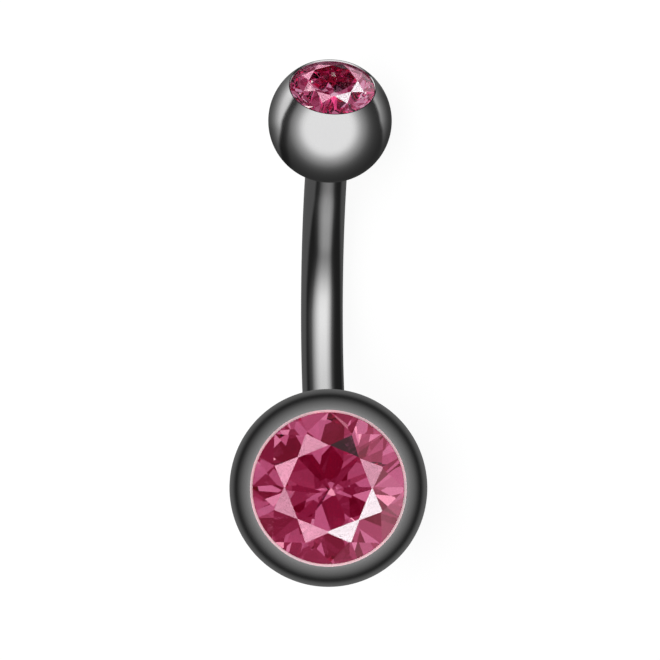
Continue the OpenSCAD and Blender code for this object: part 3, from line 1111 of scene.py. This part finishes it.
# %% The bar's box
bend_axis = (LAY.to_3x3() @ across).normalized()
bend_front = (LAY.to_3x3() @ -outwards).normalized()
STREAK_ALONG = [
    (-90, 0.3), (-68, 0.36), (-66, 0.44), (-63, 0.53), (-60, 0.57), (-55, 0.62), (-48, 0.66),
    (-38, 0.6), (-29, 0.58), (-21, 0.39), (-11.5, 0.68), (-2.6, 1.15), (6, 1.6), (15, 1.67),
    (24, 1.64), (33, 1.56), (50, 1.42), (59, 1.33), (90, 1.2),
]
STREAK_SHIFT = [(-90, 0.08), (-24, 0.08), (0, 0.03), (15, 0.0), (60, -0.025), (90, -0.025)]
STREAK_WIDTH = [
    (-90, 0.7), (-66, 0.76), (-58, 0.84), (-24, 0.72), (0, 0.93), (15, 1.0), (60, 0.96), (90, 0.96),
]
STREAK_CENTRE = 0.065
STREAK_ACROSS = [
    (-1, 0.0), (-0.73, 0.0), (-0.645, 0.02), (-0.505, 0.08), (-0.365, 0.44), (-0.22, 0.8),
    (-0.08, 1.0), (0.2, 1.0), (0.35, 0.66), (0.485, 0.09), (0.6, 0.01), (0.7, 0.0), (1, 0.0),
]
LEFT_EDGE = [
    (-90, -0.42), (-60, -0.47), (-45, -0.57), (-25, -0.67), (0, -0.74), (60, -0.76), (90, -0.76),
]
RIGHT_EDGE = [
    (-90, 0.76), (-60, 0.77), (-45, 0.79), (-25, 0.83), (0, 0.88), (30, 0.9), (60, 0.92), (90, 0.92),
]
CARD_STEP = [(-2, 0.0), (-0.04, 0.0), (0.05, 1.0), (2, 1.0)]
LEFT_CARD, RIGHT_CARD, DARK = 0.135, 0.11, 0.018


def streak_pattern(tree, way):
    """A long panel in front of the bar, and a dim card at each side."""
    facing_way = polish_facing(tree, way)
    tangent = unit_way(tree, "CROSS_PRODUCT", facing_way, bend_axis)
    along = maths(tree, "ARCSINE", along_axis(tree, tangent, bend_front))
    along = times(tree, maths(tree, "DEGREES", along), 2)
    across_bar = unit_way(tree, "CROSS_PRODUCT", tangent, -view_axis)
    side = along_axis(tree, facing_way, across_bar)
    off = minus(tree, side, curve_signed(tree, along, STREAK_SHIFT))
    off = minus(tree, off, STREAK_CENTRE)
    off = maths(tree, "DIVIDE", off, curve(tree, along, STREAK_WIDTH))
    off = plus(tree, off, STREAK_CENTRE)
    lengthwise, crosswise = curve(tree, along, STREAK_ALONG), curve(tree, off, STREAK_ACROSS)
    streak = times(tree, lengthwise, crosswise)
    left_off = minus(tree, curve_signed(tree, along, LEFT_EDGE), side)
    right_off = minus(tree, side, curve_signed(tree, along, RIGHT_EDGE))
    total = times_plus(tree, curve(tree, left_off, CARD_STEP), LEFT_CARD, streak)
    total = times_plus(tree, curve(tree, right_off, CARD_STEP), RIGHT_CARD, total)
    return plus(tree, total, DARK)


bar_spot = (lower_spot + upper_spot) / 2
light_box("bar_box", lit_group("lit_bar", bar), bar_spot, streak_pattern)

# %% [markdown]
# ## Light on the stones
#
# The sloping crowns mirror a ring of uneven pink cards, brightest at the right, which
# lightens the stones there. The flat tables mirror nothing and stay deep crimson. A
# small light stands where each star facet mirrors it, so the facets flash, seven of
# the eight as in the photo. The strongest flashes are nearly white, the others pink.

# %% The stones' boxes and flashes
CROWN_TILT = [(0, 0.0), (20, 0.0), (29, 1.0), (50, 1.0), (60, 0.2), (90, 0.1), (180, 0.1)]
CROWN_SIDES = [(-1, 0.06), (-0.2, 0.05), (0, 0.07), (0.3, 0.2), (0.42, 0.36), (0.6, 0.62), (1, 0.7)]
CROWN_CELLS = 9.0
CROWN_PINK = (1, 0.72, 0.83)
STAR_LEVELS = [0.76, 0.87, 0.66, 0.83, 1.0, 1.0, 0.62, 0.0]
STAR_PINK, STAR_WHITE = (1, 0.43, 0.6), (1, 0.9, 0.95)
WHITE_FROM = 0.95
FLASH_HALF, FLASH_DISTANCE = 40.0, 300.0
CARD_RANGE, CARD_LEAST = 1.4, 0.3


def crown_pattern(place):
    """A ring of uneven cards that only the sloping facets mirror, brighter at the right."""
    turned = place.to_3x3()
    stone_axis = (turned @ Vector((0, 0, 1))).normalized()
    stone_right = -(turned @ Vector((0, 1, 0))).normalized()

    def pattern(tree, way):
        """The brightness that stands in one direction from the stone."""
        facing_way = polish_facing(tree, way)
        ring = curve(tree, degrees_from(tree, facing_way, stone_axis), CROWN_TILT)
        sides = curve(tree, along_axis(tree, facing_way, stone_right), CROWN_SIDES)
        cards = add_node(tree, "TexVoronoi", Vector=facing_way, Scale=CROWN_CELLS)["Color"]
        chance = add_node(tree, "SeparateColor", Color=cards)["Green"]
        uneven = times_plus(tree, chance, CARD_RANGE, CARD_LEAST)
        return times(tree, times(tree, ring, sides), uneven)

    return pattern


def star_flashes(name, group, spot, stars):
    """A small light where each star facet mirrors the view, unless its strength is zero."""
    for i, (facing_way, strength) in enumerate(zip(stars, STAR_LEVELS)):
        if strength == 0:
            continue
        way = (2 * facing_way.dot(view_axis) * facing_way - view_axis).normalized()
        tint = STAR_WHITE if strength > WHITE_FROM else STAR_PINK
        light_panel(
            f"{name}_{i}", group, spot, way, view_axis, FLASH_HALF, FLASH_DISTANCE,
            lambda tree, _, level=strength: level, tint,
        )


for name, stone, spot, stars, ball in (
    ("lower_stone", lower_stone, lower_spot, lower_stars, LOWER_BALL),
    ("upper_stone", upper_stone, upper_spot, upper_stars, UPPER_BALL),
):
    stone_group = lit_group(f"lit_{name}", stone)
    light_box(f"{name}_box", stone_group, spot, crown_pattern(ball), CROWN_PINK)
    star_flashes(f"{name}_flash", stone_group, spot, stars)

# %% [markdown]
#
# The metal pieces are kept out of each other's reflections, as if each was turned to its
# best side. The plain view transform keeps the white floor white. Light may pass many
# facets before it leaves a stone, so it may bounce often, and a limit on its brightness
# keeps stray white specks away.

# %% Settings
STONE_BOUNCES, MIRROR_BOUNCES = 24, 16
BRIGHTEST_BOUNCE = 12
for piece in (bar, upper_ball, lower_ball):
    piece.visible_glossy = False
scene.view_settings.view_transform = "Standard"
scene.cycles.max_bounces = STONE_BOUNCES
scene.cycles.transmission_bounces = STONE_BOUNCES
scene.cycles.glossy_bounces = MIRROR_BOUNCES
scene.cycles.caustics_reflective = False
scene.cycles.caustics_refractive = False
scene.cycles.sample_clamp_indirect = BRIGHTEST_BOUNCE
scene.cycles.use_denoising = True
